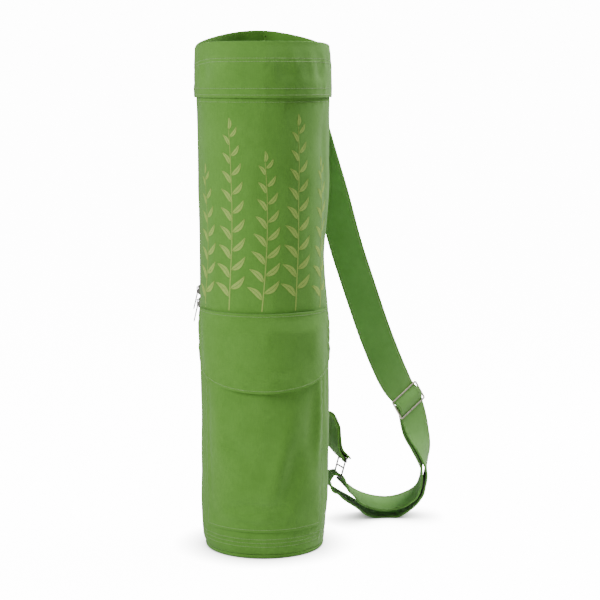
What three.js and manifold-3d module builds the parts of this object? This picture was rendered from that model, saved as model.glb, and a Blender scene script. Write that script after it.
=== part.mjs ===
// Yoga mat bag: an upright canvas tube with an open mouth, a full-length zip, a flapped cargo
// pocket and a slack shoulder strap. Millimetres, +Z up, front towards -Y, floor at Z = 0.
import * as THREE from "three";
import * as BufferGeometryUtils from "three/addons/utils/BufferGeometryUtils.js";
import Module from "manifold-3d";

const wasm = await Module();
wasm.setup();

// Driving dimensions
const rimHeight = 650;        // front of the mouth above the floor
const rimRise = 17;           // how much higher the back of the mouth stands
const rimDip = 7;             // how far the mouth sinks at its two sides
const rimTwist = 6;           // degrees that the sunken sides are turned to the right
const rimDraw = 9;            // how far the soft mouth is drawn in at front and back
const collarHeight = 69;
const seamHeight = rimHeight - collarHeight;
const bodyRadius = 83.2;      // fullest part of the canvas tube
const canvas = 1.6;           // single canvas wall
const doubled = 2.2;          // doubled canvas: collar and flap
const seat = 0.3;             // gap between pieces that touch
const collarLap = 11;         // body wall that runs up behind the collar
const baseRadius = 78;        // sewn edge of the round base
const baseLip = 5.4;          // height of the turned-up base edge
const baseCanvas = 1.8;
const zipTurn = -98;          // degrees from the front, towards the left side
const zipSlot = 6.4;          // gap between the two edges of the body wall
const coilWidth = 5.2;
const coilProud = 1.0;        // coil above the body wall
const tapeWidth = 26;
const tapeThick = 1.0;
const zipFoot = 8;            // tape and coil start this far above the floor
const sliderLength = 12;
const sliderWidth = 9.4;
const sliderPlate = 1.9;
const bailWidth = 2.4;
const bailLength = 8.4;
const bailBar = 1.0;
const pullLength = 26;
const pullWidth = 5.6;
const pullThick = 1.0;
const pullLean = 13;          // degrees that the hanging pulls stand off the wall
const upperPullHeight = 333.5;
const pullGap = 16.5;         // from the upper slider to the lower one
const lowerPullHeight = upperPullHeight - pullGap;
const pocketFoot = 36;
const pocketTop = 283;
const pocketHalf = 61;        // degrees from the front to each side seam
const pocketSlack = 3.3;      // how far the empty pocket stands off the wall
const flapTop = 315;
const flapHalf = 75.6;        // degrees from the front to each side edge
const flapSide = 57;          // length down each side edge
const flapMiddle = 99;        // length down the middle
const strapWidth = 44;
const strapThick = 2.4;
const strapTurn = 126;        // degrees from the front, on the right rear
const strapReach = 225;       // rightmost point of the slack loop
const strapBack = 142;        // how far behind the axis the loop lies
const strapSewn = 10;         // length of strap sewn flat under the collar
const strapLeaves = 22;       // where it has left the wall, below the collar
const tabThick = 2.0;
const tabTop = 182;
const tabWidth = 41;
const tabTurn = 129;          // the tab is sewn a little further back than the strap
const barPitch = 14;          // from bar to bar of the slide and the ring
const barWide = 2.2;
const barThick = 2.2;
const barSlack = 1.5;         // side play of the strap in the hardware
const barClear = 0.9;         // cloth that turns round a bar stands this far off it
const flapLie = 0.9;          // flap over the pocket's outer face
const slideOut = 195.6;       // middle of the slide: right of the axis, behind it, above the floor
const slideBack = 120;
const slideUp = 166.8;
const ringOut = 101.3;        // middle of the ring, measured the same way
const ringBack = 93.5;
const ringUp = 80.6;

const wholeTurn = 360;
const rad = THREE.MathUtils.degToRad;
const lerp = THREE.MathUtils.lerp;
const vec = (x, y, z) => new THREE.Vector3(x, y, z);
const ease = (t) => THREE.MathUtils.smoothstep(t, 0, 1);

// Reads a column of a table of sections at a height share, smoothly between the rows.
function column(table, key, share) {
  const last = table.length - 1;
  if (share <= table[0].up) return table[0][key];
  if (share >= table[last].up) return table[last][key];
  const i = table.findIndex((row) => row.up > share) - 1;
  const [a, b] = [table[i], table[i + 1]];
  return lerp(a[key], b[key], ease((share - a.up) / (b.up - a.up)) * 0.5
    + (share - a.up) / (b.up - a.up) * 0.5);
}

// Sections of the tube: height as a share of the seam height, girth and sideways shift as
// shares of the body radius.
const tubeForm = [
  { up: 0.010, girth: 0.926, shift: 0.000 },
  { up: 0.024, girth: 0.952, shift: -0.008 },
  { up: 0.053, girth: 0.973, shift: 0.000 },
  { up: 0.120, girth: 0.989, shift: 0.009 },
  { up: 0.284, girth: 1.002, shift: 0.020 },
  { up: 0.430, girth: 0.995, shift: 0.008 },
  { up: 0.690, girth: 0.992, shift: -0.003 },
  { up: 0.860, girth: 1.004, shift: -0.006 },
  { up: 1.020, girth: 1.015, shift: -0.006 },
];

// Soft dents of the tube: centre (degrees from the front, share of the seam height), half
// width in degrees, half height as a share, depth as a share of the body radius.
const tubeDents = [
  { turn: 92, up: 0.66, across: 40, tall: 0.115, deep: 0.056 },
  { turn: 20, up: 0.79, across: 30, tall: 0.085, deep: 0.016 },
  { turn: -140, up: 0.50, across: 34, tall: 0.160, deep: 0.034 },
  { turn: 165, up: 0.27, across: 30, tall: 0.120, deep: 0.028 },
  { turn: 60, up: 0.90, across: 22, tall: 0.060, deep: 0.018 },
];

const turnBetween = (a, b) => Math.abs(((a - b + 540) % 360) - 180);

function dentAt(dents, turn, share) {
  let depth = 0;
  for (const dent of dents) {
    const across = turnBetween(turn, dent.turn) / dent.across;
    const tall = (share - dent.up) / dent.tall;
    depth += dent.deep * Math.exp(-1.6 * (across * across + tall * tall));
  }
  return depth * bodyRadius;
}

// A point of the tube's outer face, pushed out by a distance. Turn is in degrees from the front.
function onTube(turn, height, out) {
  const share = height / seamHeight;
  const r = column(tubeForm, "girth", share) * bodyRadius - dentAt(tubeDents, turn, share) + out;
  const shift = column(tubeForm, "shift", share) * bodyRadius;
  return vec(shift + r * Math.sin(rad(turn)), -r * Math.cos(rad(turn)), height);
}

const tubeTurn = (length) => THREE.MathUtils.radToDeg(length / bodyRadius);

// Closed body between two faces of a sheet: at(row share, column share, face) gives a point of
// the outer face (0) or the inner face (1). A joined sheet closes on itself across its columns.
function sheetGeometry(rows, columns, at, joined = false) {
  const across = joined ? columns : columns + 1;
  const position = [];
  for (const face of [0, 1]) {
    for (let i = 0; i <= rows; i += 1) {
      for (let j = 0; j < across; j += 1) {
        position.push(...at(i / rows, j / columns, face).toArray());
      }
    }
  }
  const faceSize = (rows + 1) * across;
  const index = [];
  const quad = (a, b, c, d) => index.push(a, b, c, a, c, d);
  const id = (face, i, j) => face * faceSize + i * across + (j % across);
  for (let i = 0; i < rows; i += 1) {
    for (let j = 0; j < columns; j += 1) {
      quad(id(0, i, j), id(0, i, j + 1), id(0, i + 1, j + 1), id(0, i + 1, j));
      quad(id(1, i, j), id(1, i + 1, j), id(1, i + 1, j + 1), id(1, i, j + 1));
    }
  }
  for (let j = 0; j < columns; j += 1) {
    quad(id(0, 0, j + 1), id(0, 0, j), id(1, 0, j), id(1, 0, j + 1));
    quad(id(0, rows, j), id(0, rows, j + 1), id(1, rows, j + 1), id(1, rows, j));
  }
  if (!joined) {
    for (let i = 0; i < rows; i += 1) {
      quad(id(0, i, 0), id(0, i + 1, 0), id(1, i + 1, 0), id(1, i, 0));
      quad(id(0, i + 1, columns), id(0, i, columns), id(1, i, columns), id(1, i + 1, columns));
    }
  }
  return facingOut(position, index);
}

// Turns every face outwards by the sign of the enclosed volume.
function facingOut(position, index) {
  const corner = (k) => vec(...position.slice(3 * k, 3 * k + 3));
  let volume = 0;
  for (let k = 0; k < index.length; k += 3) {
    const [a, b, c] = [corner(index[k]), corner(index[k + 1]), corner(index[k + 2])];
    volume += a.dot(b.cross(c));
  }
  const order = volume < 0 ? index.slice().reverse() : index;
  const geometry = new THREE.BufferGeometry();
  geometry.setAttribute("position", new THREE.Float32BufferAttribute(position, 3));
  geometry.setIndex(order);
  geometry.computeVertexNormals();
  return geometry;
}

// Band of cloth along a smooth line. Each station has a place, a width direction and a cup,
// the depth by which the band's long edges bend towards its inner face.
function bandGeometry(stations, width, thick, stepsBetween, columns) {
  const line = new THREE.CatmullRomCurve3(stations.map((s) => s.place), false, "centripetal");
  const sides = new THREE.CatmullRomCurve3(stations.map((s) => s.side), false, "catmullrom");
  const cups = new THREE.CatmullRomCurve3(
    stations.map((s, i) => vec(i, s.cup ?? 0, 0)), false, "catmullrom");
  const rows = (stations.length - 1) * stepsBetween;
  const frames = [];
  for (let i = 0; i <= rows; i += 1) {
    const t = i / rows;
    const along = line.getTangent(t);
    const side = sides.getPoint(t);
    side.addScaledVector(along, -side.dot(along)).normalize();
    frames.push({ place: line.getPoint(t), side, face: along.clone().cross(side),
      cup: cups.getPoint(t).y });
  }
  return sheetGeometry(rows, columns, (s, c, face) => {
    const frame = frames[Math.round(s * rows)];
    const across = c - 0.5;
    const lift = (face === 0 ? 0.5 : -0.5) * thick - frame.cup * 4 * across * across;
    return frame.place.clone().addScaledVector(frame.side, across * width)
      .addScaledVector(frame.face, lift);
  });
}

function toSolid(geometry) {
  const bare = geometry.index ? geometry.clone() : geometry;
  bare.deleteAttribute("normal");
  bare.deleteAttribute("uv");
  const merged = BufferGeometryUtils.mergeVertices(bare, 1e-4);
  return new wasm.Manifold(new wasm.Mesh({
    numProp: 3,
    vertProperties: new Float32Array(merged.attributes.position.array),
    triVerts: new Uint32Array(merged.index.array),
  }));
}

function fromSolid(solid) {
  const mesh = solid.getMesh();
  return facingOut(Array.from(mesh.vertProperties), Array.from(mesh.triVerts));
}

function cloth(color, roughness = 0.9) {
  return new THREE.MeshStandardMaterial({ color, roughness, metalness: 0 });
}

const greenCanvas = cloth("#68924a");
const greenShade = cloth("#5c8240");
const greenTape = cloth("#4d6f35", 0.85);
const greenCoil = cloth("#3f5f2c", 0.5);
const paleNickel = new THREE.MeshStandardMaterial({ color: "#c9c4a8", roughness: 0.3,
  metalness: 1 });
const darkNickel = new THREE.MeshStandardMaterial({ color: "#8b8680", roughness: 0.35,
  metalness: 1 });

const bag = new THREE.Group();

function add(name, geometry, material, parent = bag) {
  const mesh = new THREE.Mesh(geometry, material);
  mesh.name = name;
  parent.add(mesh);
  return mesh;
}

// Body wall: one canvas panel round the tube, its two upright edges held by the zip.
function bodyWall() {
  const foot = baseLip + seat;
  const top = seamHeight + collarLap;
  const slot = tubeTurn(zipSlot);
  return sheetGeometry(18, 40, (s, c, face) => {
    const turn = zipTurn + slot / 2 + c * (wholeTurn - slot);
    return onTube(turn, lerp(foot, top, s), -face * canvas);
  });
}

// Collar band: heights are shares of its own height, girths shares of the body radius.
const collarForm = [
  { up: 0.00, girth: 1.047, shift: 0.002 },
  { up: 0.25, girth: 1.047, shift: 0.002 },
  { up: 0.60, girth: 1.046, shift: 0.000 },
  { up: 0.82, girth: 1.041, shift: 0.000 },
  { up: 1.00, girth: 1.030, shift: -0.010 },
];
const collarDents = [
  { turn: 38, up: 0.45, across: 26, tall: 0.50, deep: 0.022 },
  { turn: -62, up: 0.30, across: 18, tall: 0.50, deep: 0.014 },
  { turn: 172, up: 0.70, across: 30, tall: 0.45, deep: 0.016 },
  { turn: -130, up: 0.80, across: 26, tall: 0.40, deep: 0.012 },
];

// The mouth's edge is level in front, sunken at the sides and highest at the back.
function rimAt(turn) {
  const forward = Math.cos(rad(turn - rimTwist));
  const sunken = Math.exp(-((forward / 0.37) ** 2));
  return rimHeight + rimRise * Math.min(0, forward) ** 2 - rimDip * sunken;
}

function collar() {
  return sheetGeometry(8, 40, (s, c, face) => {
    const turn = c * wholeTurn;
    const height = lerp(seamHeight, rimAt(turn), s);
    const lapped = Math.min(1, Math.max(0, (s - 0.14) / 0.3));
    const draw = rimDraw * Math.cos(rad(turn)) ** 2 * ease((s - 0.55) / 0.45);
    const dent = dentAt(collarDents, turn, s) * ease(lapped);
    const free = column(collarForm, "girth", s) * bodyRadius - dent - draw;
    const up = height / seamHeight;
    const held = column(tubeForm, "girth", up) * bodyRadius + 2 * seat + doubled;
    const r = lerp(Math.max(held, free), free, ease(lapped)) - face * doubled;
    const shift = bodyRadius
      * lerp(column(tubeForm, "shift", up), column(collarForm, "shift", s), ease(lapped));
    return vec(shift + r * Math.sin(rad(turn)), -r * Math.cos(rad(turn)), height);
  }, true);
}

// Base: a round panel whose edge turns up to the seam with the body wall.
function basePanel() {
  const profile = [
    vec(0, 0, 0), vec(baseRadius - 2.5, 0, 0), vec(baseRadius - 0.8, 0.8, 0),
    vec(baseRadius, 2.4, 0), vec(baseRadius, baseLip, 0),
    vec(baseRadius - baseCanvas, baseLip, 0), vec(baseRadius - baseCanvas, 3.4, 0),
    vec(baseRadius - 2 * baseCanvas, baseCanvas, 0), vec(0, baseCanvas, 0),
  ].map((p) => new THREE.Vector2(p.x, p.y));
  return new THREE.LatheGeometry(profile, 40).rotateX(Math.PI / 2);
}

// Pocket: outer offset from the tube, kept going past its seams so that the flap can lie on it.
const pocketFolds = [
  { turn: 8, up: 0.42, across: 34, tall: 0.10, deep: -0.012 },
  { turn: 26, up: 0.16, across: 16, tall: 0.07, deep: 0.012 },
  { turn: -30, up: 0.24, across: 16, tall: 0.10, deep: -0.008 },
];

function pocketOut(turn, height) {
  const across = turn / pocketHalf;
  const up = (height - pocketFoot) / (pocketTop - pocketFoot);
  const inside = Math.max(0, 1 - across ** 4) ** 0.6;
  const risen = ease(up / 0.22) * (1 - 0.25 * ease((up - 0.8) / 0.2));
  const fold = dentAt(pocketFolds, turn, height / seamHeight);
  const slack = Math.max(0, pocketSlack - fold) * inside * Math.min(1, Math.max(0, risen));
  const beyond = Math.max(0, Math.abs(turn) - pocketHalf) / 8;
  return seat + (canvas + slack) * (1 - ease(Math.min(1, beyond)));
}

function pocket() {
  return sheetGeometry(12, 18, (s, c, face) => {
    const turn = lerp(-pocketHalf, pocketHalf, c);
    const height = lerp(pocketFoot, pocketTop, s);
    return onTube(turn, height, pocketOut(turn, height) - face * canvas);
  });
}

// Flap: hung from its sewn top edge over the pocket's mouth, with round lower corners.
function pocketFlap() {
  const corner = 1.9;
  return sheetGeometry(10, 22, (s, c, face) => {
    const across = Math.sin(lerp(-Math.PI / 2, Math.PI / 2, c));
    const length = flapSide
      + (flapMiddle - flapSide) * (1 - Math.abs(across) ** corner) ** (1 / 2);
    const turn = across * flapHalf;
    const height = flapTop - s * length;
    const over = ease(Math.min(1, Math.max(0, (flapTop - 3 - height) / 24)));
    const lies = lerp(seat * 2, pocketOut(turn, Math.min(height, pocketTop)) + flapLie, over);
    return onTube(turn, height, lies + (1 - face) * doubled);
  });
}

// Zip: a woven tape behind the two edges of the body wall and a coil between them.
function zipStrip(width, out, thick) {
  const half = tubeTurn(width) / 2;
  return sheetGeometry(18, 2, (s, c, face) => {
    const height = lerp(zipFoot, seamHeight - seat * 2, s);
    return onTube(zipTurn + lerp(-half, half, c), height, out - face * thick);
  });
}

// Frame on the tube at the zip: X along the wall, Y out of it, Z up.
function zipFrame(height) {
  const frame = new THREE.Group();
  frame.position.copy(onTube(zipTurn, height, 0));
  frame.rotation.z = rad(zipTurn) - Math.PI;
  return frame;
}

function boxSolid(x, y, z, at) {
  return toSolid(new THREE.BoxGeometry(x, y, z).translate(at.x, at.y, at.z));
}

const coilClear = coilProud + seat;
const plateTop = coilClear + sliderPlate;
const hingeOut = plateTop + seat + bailBar / 2 + 0.05;
const bailTop = hingeOut + bailBar / 2 + seat + bailBar;

// Slider: a plate with two side flanges over the coil and a bail that holds the pull's eye.
function slider() {
  const half = sliderWidth / 2;
  const nose = half * 0.62;
  const outline = new THREE.Shape([
    new THREE.Vector2(-nose, -sliderLength / 2), new THREE.Vector2(nose, -sliderLength / 2),
    new THREE.Vector2(half, -sliderLength / 4), new THREE.Vector2(half, sliderLength / 2),
    new THREE.Vector2(-half, sliderLength / 2), new THREE.Vector2(-half, -sliderLength / 4),
  ]);
  const plate = new THREE.ExtrudeGeometry(outline, { depth: plateTop - seat,
    bevelEnabled: false }).rotateX(Math.PI / 2).translate(0, plateTop, 0);
  const channel = boxSolid(coilWidth + 2 * seat, 2 * (coilClear - seat), sliderLength * 2,
    vec(0, seat, 0));
  const bailOuter = boxSolid(bailWidth, bailTop - plateTop + 0.5, bailLength,
    vec(0, (bailTop + plateTop - 0.5) / 2, 0));
  const bailInner = boxSolid(bailWidth * 2, bailTop - bailBar - plateTop,
    bailLength - 2 * bailBar, vec(0, (bailTop - bailBar + plateTop) / 2, 0));
  const body = toSolid(plate).subtract(channel);
  return fromSolid(body.add(bailOuter).subtract(bailInner));
}

// Pull: a flat tab whose eye goes round the bail, with a small hole near its tip. It hangs
// down from its own hinge line along X.
function pull() {
  const half = pullWidth / 2;
  const bar = pullThick / 2;
  const eye = bailWidth / 2 + 2 * seat;
  const outline = new THREE.Shape();
  outline.moveTo(-half, bar);
  outline.lineTo(-half * 0.8, half - pullLength);
  outline.absarc(0, half * 0.8 - pullLength, half * 0.8, Math.PI, 2 * Math.PI, false);
  outline.lineTo(half, bar);
  const window = new THREE.Path();
  window.moveTo(-eye, -bar);
  window.lineTo(eye, -bar);
  window.lineTo(eye, -bar - bailLength * 0.75);
  window.lineTo(-eye, -bar - bailLength * 0.75);
  outline.holes.push(window);
  const tip = new THREE.Path();
  tip.absarc(0, half - pullLength, half * 0.36, 0, 2 * Math.PI, true);
  outline.holes.push(tip);
  return new THREE.ExtrudeGeometry(outline, { depth: pullThick, bevelEnabled: false,
    curveSegments: 5 }).translate(0, 0, -pullThick / 2).rotateX(Math.PI / 2);
}

function addZipEnd(name, height, flip) {
  const frame = zipFrame(height);
  bag.add(frame);
  const body = add(`zip_slider_${name}`, slider(), darkNickel, frame);
  body.rotation.y = flip ? Math.PI : 0;
  const tab = add(`zip_pull_${name}`, pull(), darkNickel, frame);
  tab.position.y = hingeOut;
  tab.rotation.x = rad(pullLean);
}

// Three-bar hardware for the strap: a frame with two windows. X along the bars, Y along the
// strap, Z out of the frame.
function threeBar() {
  const clear = strapWidth / 2 + barSlack;
  const wide = clear + barWide;
  const tall = barPitch + barWide / 2;
  const round = 2.5;
  const outline = new THREE.Shape();
  outline.moveTo(-wide + round, -tall);
  outline.lineTo(wide - round, -tall);
  outline.absarc(wide - round, -tall + round, round, -Math.PI / 2, 0, false);
  outline.lineTo(wide, tall - round);
  outline.absarc(wide - round, tall - round, round, 0, Math.PI / 2, false);
  outline.lineTo(-wide + round, tall);
  outline.absarc(-wide + round, tall - round, round, Math.PI / 2, Math.PI, false);
  outline.lineTo(-wide, -tall + round);
  outline.absarc(-wide + round, -tall + round, round, Math.PI, 1.5 * Math.PI, false);
  for (const side of [-1, 1]) {
    const near = side * barWide / 2;
    const far = side * (barPitch - barWide / 2);
    const window = new THREE.Path();
    window.moveTo(-clear, near);
    window.lineTo(clear, near);
    window.lineTo(clear, far);
    window.lineTo(-clear, far);
    outline.holes.push(window);
  }
  return new THREE.ExtrudeGeometry(outline, { depth: barThick - 0.8, bevelEnabled: true,
    bevelThickness: 0.4, bevelSize: 0.4, bevelOffset: -0.4, bevelSegments: 1,
    curveSegments: 4 }).translate(0, 0, -barThick / 2 + 0.4);
}

// Frame of a piece of hardware from its place, the way of its bars and the way of the strap.
function hardwareFrame(at, bars, run) {
  const x = bars.clone().normalize();
  const y = run.clone().addScaledVector(x, -run.dot(x)).normalize();
  const z = y.clone().cross(x);
  return { at, x, y, z };
}

const inFrame = (frame, x, y, z) => frame.at.clone().addScaledVector(frame.x, x)
  .addScaledVector(frame.y, y).addScaledVector(frame.z, z);

const slideFrame = hardwareFrame(vec(slideOut, slideBack, slideUp), vec(0.662, 0.553, 0.5),
  vec(0.464, 0.22, -0.859));
const ringFrame = hardwareFrame(vec(ringOut, ringBack, ringUp), vec(-0.163, 0.979, -0.12),
  vec(-0.261, -0.16, -0.952));

function addHardware(name, frame, material) {
  const mesh = add(name, threeBar(), material);
  const basis = new THREE.Matrix4().makeBasis(frame.x, frame.y, frame.x.clone().cross(frame.y));
  mesh.quaternion.setFromRotationMatrix(basis);
  mesh.position.copy(frame.at);
}

// Wall stations: places on the tube at the strap's line, with the edges bent on to the wall.
function wallStation(turn, height, out) {
  const a = rad(turn);
  const r = bodyRadius + out;
  return { place: onTube(turn, height, out), side: vec(-Math.cos(a), -Math.sin(a), 0),
    cup: Math.sqrt(r * r - strapWidth * strapWidth / 4) - r };
}

// Free stations: shares of the strap's reach, its depth behind the axis and the seam height.
// Side is the way from the near or left edge to the far or right edge.
const fallStations = [
  { out: 0.322, back: 0.391, up: 0.921, side: [0.66, -0.75, 0.05], cup: -2.0 },
  { out: 0.351, back: 0.465, up: 0.857, side: [0.82, -0.56, 0.10], cup: -1.2 },
  { out: 0.408, back: 0.563, up: 0.764, side: [0.93, -0.33, 0.18], cup: -0.4 },
  { out: 0.468, back: 0.634, up: 0.671, side: [0.955, -0.12, 0.25], cup: 0.8 },
  { out: 0.565, back: 0.690, up: 0.554, side: [0.95, 0.0, 0.30], cup: 0.8 },
  { out: 0.672, back: 0.739, up: 0.434, side: [0.95, 0.05, 0.31], cup: 0.8 },
  { out: 0.775, back: 0.789, up: 0.340, side: [0.86, 0.30, 0.40], cup: 0.4 },
];
const loopOuter = [
  { out: 0.925, back: 0.887, up: 0.212, side: [0.70, 0.68, 0.22] },
  { out: 0.968, back: 0.880, up: 0.164, side: [0.42, 0.90, 0.10] },
  { out: 0.984, back: 0.880, up: 0.115, side: [0.06, 1, 0] },
  { out: 0.973, back: 0.887, up: 0.084, side: [0, 1, 0] },
  { out: 0.958, back: 0.901, up: 0.060, side: [0, 1, 0] },
  { out: 0.905, back: 0.944, up: 0.029, side: [0, 1, 0] },
  { out: 0.820, back: 0.986, up: 0.004, side: [0, 1, 0] },
  { out: 0.749, back: 1.000, up: 0.000, side: [0, 1, 0] },
  { out: 0.676, back: 0.990, up: 0.001, side: [0, 1, 0] },
  { out: 0.609, back: 0.944, up: 0.011, side: [-0.02, 1, 0] },
  { out: 0.534, back: 0.870, up: 0.034, side: [-0.06, 0.99, 0] },
  { out: 0.432, back: 0.745, up: 0.067, side: [-0.12, 0.99, -0.04] },
];
const loopInner = [
  { out: 0.518, back: 0.787, up: 0.066, side: [-0.05, 0.99, 0.02] },
  { out: 0.579, back: 0.871, up: 0.045, side: [-0.02, 0.99, 0.10] },
  { out: 0.674, back: 0.948, up: 0.028, side: [0, 0.98, 0.18] },
  { out: 0.769, back: 0.983, up: 0.0245, side: [0, 0.98, 0.20] },
  { out: 0.862, back: 0.950, up: 0.037, side: [0, 0.98, 0.18] },
  { out: 0.921, back: 0.918, up: 0.056, side: [0, 0.99, 0.10] },
  { out: 0.947, back: 0.890, up: 0.080, side: [0.02, 1, 0.04] },
  { out: 0.956, back: 0.873, up: 0.118, side: [0.08, 1, 0] },
  { out: 0.940, back: 0.884, up: 0.163, side: [0.42, 0.90, 0.10] },
  { out: 0.905, back: 0.908, up: 0.210, side: [0.68, 0.70, 0.22] },
];

// Turn round the ring's lower bar, in bar pitches from the ring's middle: down the ring, out
// of its face and towards its far end.
const ringTurn = [
  { down: 2.10, off: -0.36, far: 0.65 },
  { down: 1.72, off: -0.66, far: 0.35 },
  { down: 1.25, off: -0.72, far: 0.20 },
  { down: 0.80, off: -0.38, far: 0.06 },
];
const ringLeave = [
  { down: 1.25, off: 0.62, far: 0.15 },
  { down: 1.75, off: 1.04, far: 0.45 },
];

const lowest = strapThick / 2 + seat * 3;
const freeStation = (row) => ({
  place: vec(row.out * strapReach, row.back * strapBack, row.up * seamHeight + lowest),
  side: vec(...row.side), cup: row.cup ?? 0,
});

const besideBar = barThick / 2 + barClear + strapThick / 2;
const acrossBar = (frame, y, z, x = 0) => ({ place: inFrame(frame, x, y, z),
  side: frame.x.clone() });

// Strap: sewn under the collar, over the slide's middle bar, down to the floor, round the
// ring's lower bar, and back up to its sewn end behind the slide's middle bar.
function strap() {
  const hold = seat * 2 + strapThick / 2;
  const second = besideBar + strapThick + seat;
  const stations = [
    wallStation(strapTurn, seamHeight - seat - 0.5, hold),
    wallStation(strapTurn, seamHeight - strapSewn, hold),
    wallStation(strapTurn, seamHeight - strapLeaves, hold + 1),
    ...fallStations.map(freeStation),
    acrossBar(slideFrame, -barPitch, -besideBar),
    acrossBar(slideFrame, 0, besideBar),
    acrossBar(slideFrame, barPitch, -besideBar),
    ...loopOuter.map(freeStation),
    ...ringTurn.map((row) => acrossBar(ringFrame, row.down * barPitch, row.off * barPitch,
      row.far * barPitch)),
    acrossBar(ringFrame, barPitch - besideBar * 0.87, besideBar * 0.49),
    ...ringLeave.map((row) => acrossBar(ringFrame, row.down * barPitch, row.off * barPitch,
      row.far * barPitch)),
    ...loopInner.map(freeStation),
    acrossBar(slideFrame, barPitch, -second - 0.4),
    acrossBar(slideFrame, 0.5, -besideBar - 0.1),
    acrossBar(slideFrame, -barPitch * 0.36, -besideBar - 0.1),
  ];
  return bandGeometry(stations, strapWidth, strapThick, 3, 3);
}

// Lower tab: a strip sewn to the wall, folded round the ring's upper bar and sewn back.
const tabMiddle = [
  { out: 0.318, back: 0.404, up: 0.287, side: [0.56, -0.83, 0.02] },
  { out: 0.352, back: 0.446, up: 0.279, side: [0.50, -0.86, 0.08] },
  { out: 0.386, back: 0.506, up: 0.247, side: [0.42, -0.84, 0.30] },
  { out: 0.423, back: 0.600, up: 0.189, side: [0.25, -0.93, 0.20] },
];

function lowerTab() {
  const spread = [0.5, 0.5, 0.5, 0.56, 0.66, 0.8, 1.0];
  const inner = tabThick + seat;
  const hold = seat * 2 + tabThick + seat / 2;
  const middle = [
    wallStation(tabTurn, tabTop, hold),
    wallStation(tabTurn, tabTop - 6, hold),
    wallStation(tabTurn, tabTop - 11, hold + 0.8),
    ...tabMiddle.map((row) => ({
      place: vec(row.out * strapReach, row.back * strapBack, row.up * seamHeight),
      side: vec(...row.side), cup: -1.2,
    })),
  ];
  const end = inFrame(ringFrame, 0, -barPitch, 0);
  const line = new THREE.CatmullRomCurve3([...middle.map((s) => s.place), end], false,
    "centripetal");
  const layer = (sign) => middle.map((s, i) => {
    const along = line.getTangent(i / middle.length);
    const face = along.clone().cross(s.side).normalize();
    return { place: s.place.clone().addScaledVector(face, sign * spread[i] * inner),
      side: s.side.clone(), cup: -sign * s.cup };
  });
  const wrap = barThick / 2 + barClear + tabThick / 2;
  const arrive = end.clone().sub(middle[middle.length - 1].place);
  const heading = Math.atan2(arrive.dot(ringFrame.z), arrive.dot(ringFrame.y));
  const round = [0.5, 0.25, 0, -0.25, -0.5].map((half) => {
    const turn = heading + half * Math.PI;
    const place = inFrame(ringFrame, 0, -barPitch + wrap * Math.cos(turn),
      wrap * Math.sin(turn));
    return { place, side: ringFrame.x.clone().negate(), cup: 0 };
  });
  const stations = [...layer(-1), ...round, ...layer(1).reverse()];
  return bandGeometry(stations, tabWidth, tabThick, 2, 4);
}

add("body_wall", bodyWall(), greenCanvas);
add("collar", collar(), greenCanvas);
add("base_panel", basePanel(), greenShade);
add("cargo_pocket", pocket(), greenCanvas);
add("pocket_flap", pocketFlap(), greenCanvas);
add("zip_tape", zipStrip(tapeWidth, -canvas - 2 * seat, tapeThick), greenTape);
add("zip_coil", zipStrip(coilWidth, coilProud, coilProud + canvas), greenCoil);
addZipEnd("upper", upperPullHeight, false);
addZipEnd("lower", lowerPullHeight, true);
add("shoulder_strap", strap(), greenCanvas);
add("lower_tab", lowerTab(), greenCanvas);
addHardware("slide_buckle", slideFrame, paleNickel);
addHardware("ladder_ring", ringFrame, darkNickel);

export default bag;
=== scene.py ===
"""A canvas tube bag for a rolled exercise mat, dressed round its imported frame. Metres, +Z up."""
import bisect
import math

import bpy
from mathutils import Matrix, Vector, noise


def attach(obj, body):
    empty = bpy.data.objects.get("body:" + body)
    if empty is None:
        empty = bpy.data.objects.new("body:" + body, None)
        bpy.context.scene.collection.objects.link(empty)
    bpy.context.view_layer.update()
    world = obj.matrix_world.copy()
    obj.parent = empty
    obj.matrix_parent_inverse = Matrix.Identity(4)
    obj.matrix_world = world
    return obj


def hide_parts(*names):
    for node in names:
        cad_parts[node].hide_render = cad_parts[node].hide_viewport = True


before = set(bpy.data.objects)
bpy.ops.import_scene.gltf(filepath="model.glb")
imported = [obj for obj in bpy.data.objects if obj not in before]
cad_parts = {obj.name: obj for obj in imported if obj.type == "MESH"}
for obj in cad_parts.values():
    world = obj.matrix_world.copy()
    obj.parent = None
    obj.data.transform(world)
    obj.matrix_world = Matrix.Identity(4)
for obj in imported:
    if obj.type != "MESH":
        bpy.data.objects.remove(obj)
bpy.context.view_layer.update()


# Camera: it looks slightly down at the front of the bag, whose axis lies left of the middle.
camera_place = (0.0465, -2.1, 0.604)
camera_pitch = 7.66
camera_lens = 98.63
bpy.ops.object.camera_add(location=camera_place, rotation=(math.radians(90 - camera_pitch), 0, 0))
camera = bpy.context.object
camera.data.lens = camera_lens
camera.data.sensor_width = 36
camera.data.clip_end = 600
bpy.context.scene.camera = camera


# Floor: a plain white sheet so wide that its far edge melts into the room. Its glow is for the
# camera alone, and sinks in a painted contact shadow where the bag touches it. It belongs to the
# stage and not to the bag.
class Value:
    """A shader socket. Arithmetic on it adds Math nodes to its tree."""

    def __init__(self, tree, socket):
        self.tree = tree
        self.socket = socket

    def math(self, operation, *others):
        node = self.tree.nodes.new("ShaderNodeMath")
        node.operation = operation
        for slot, value in zip(node.inputs, (self, *others)):
            if isinstance(value, Value):
                self.tree.links.new(value.socket, slot)
            else:
                slot.default_value = value
        return Value(self.tree, node.outputs[0])

    def __add__(self, other):
        return self.math("ADD", other)

    def __mul__(self, other):
        return self.math("MULTIPLY", other)

    def __sub__(self, other):
        return self.math("SUBTRACT", other)

    def __rsub__(self, other):
        return (self * -1) + other

    __radd__ = __add__
    __rmul__ = __mul__


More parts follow.
